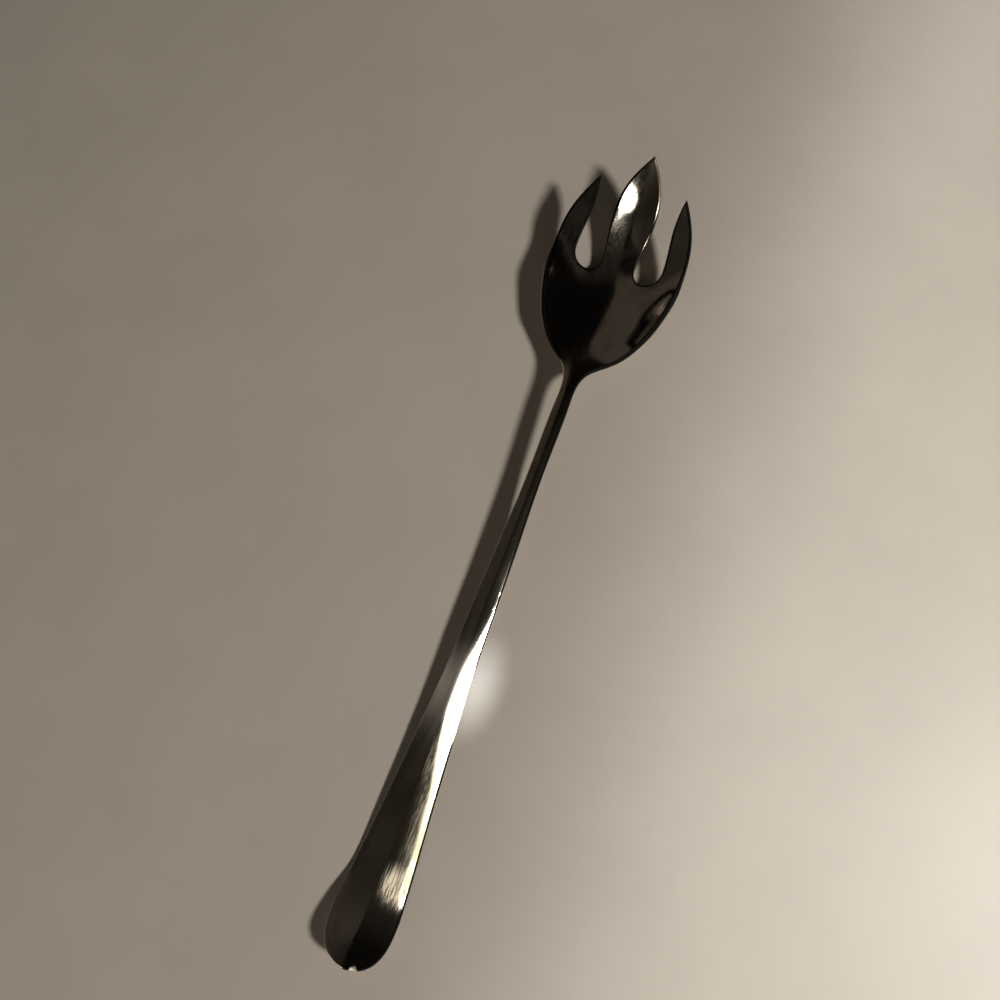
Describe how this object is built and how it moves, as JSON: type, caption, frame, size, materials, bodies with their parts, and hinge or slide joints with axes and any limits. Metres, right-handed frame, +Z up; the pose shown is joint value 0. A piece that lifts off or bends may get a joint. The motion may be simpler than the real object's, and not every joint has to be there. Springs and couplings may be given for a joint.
{
  "type": "salad fork",
  "caption": "Polished metal salad serving fork: spoon-like bowl ending in pointed tines, slender stem, and a flared handle with a turned-up, softly ridged end.",
  "frame": {"origin": "middle of the fork's footprint on the table, at the height of its back", "axes": "+Y along the fork from the handle to the tines, +Z up out of the bowl, +X across"},
  "size_m": [0.0428, 0.25, 0.0173],
  "materials": {
    "silver_plate": "polished, finely scratched, slightly tarnished"
  },
  "bodies": {
    "root": {"fork": "silver_plate"}
  },
  "joints": []
}
